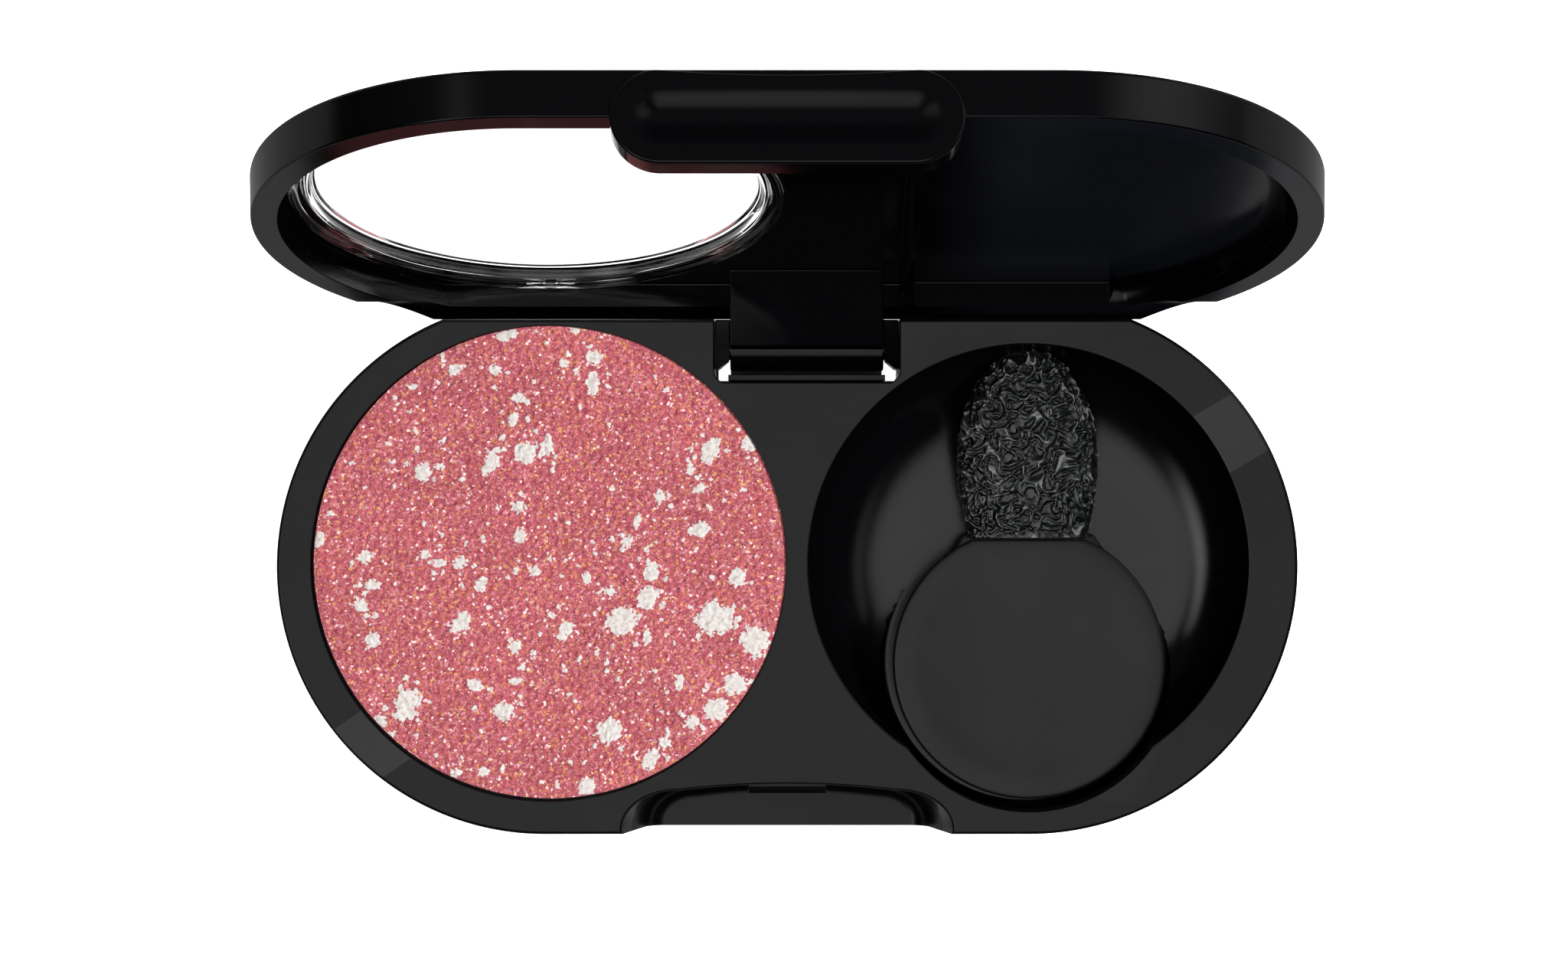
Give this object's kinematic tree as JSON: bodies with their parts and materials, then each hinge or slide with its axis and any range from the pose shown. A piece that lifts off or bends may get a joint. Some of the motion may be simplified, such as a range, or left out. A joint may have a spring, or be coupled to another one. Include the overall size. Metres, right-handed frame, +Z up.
{
  "type": "eyeshadow compact",
  "caption": "Black round-ended eyeshadow compact, hinged lid with round clear window, open over a pressed rose powder pan and a sponge applicator in its well.",
  "frame": {"origin": "middle of the case outline, on the flat face the case rests on", "axes": "+X to the right along the length, +Y towards the hinge, +Z up out of the case"},
  "size_m": [0.0606, 0.0424, 0.0342],
  "materials": {
    "case_plastic": "satin moulded black",
    "tray_plastic": "satin moulded black",
    "pan_aluminium": "drawn sheet",
    "pan_glue": "soft adhesive",
    "pressed_powder": "pressed shimmer powder with a linen emboss",
    "label": "blank coated paper",
    "pin_steel": "drawn wire",
    "lid_plastic": "gloss moulded black",
    "clear_plastic": "polished clear",
    "handle_plastic": "satin moulded black",
    "sponge": "black latex-skinned foam"
  },
  "bodies": {
    "base": {"base_shell": "case_plastic", "base_tray": "tray_plastic", "powder_pan": "pan_aluminium", "pan_adhesive": "pan_glue", "powder_cake": "pressed_powder", "shade_label": "label", "hinge_pin": "pin_steel"},
    "lid": {"lid_shell": "lid_plastic", "lid_window": "clear_plastic"},
    "applicator": {"applicator_handle": "handle_plastic", "applicator_sponge": "sponge"}
  },
  "joints": [
    {"name": "lid_hinge", "type": "hinge", "parent": "base", "child": "lid", "pos_m": [0.00116, 0.0128, 0.0066], "axis": [-1, 0, 0], "range_deg": [-108.2, 3]},
    {"name": "applicator_lift", "type": "slide", "parent": "base", "child": "applicator", "axis": [0, 0, 1], "range_m": [0, 0.045]}
  ]
}
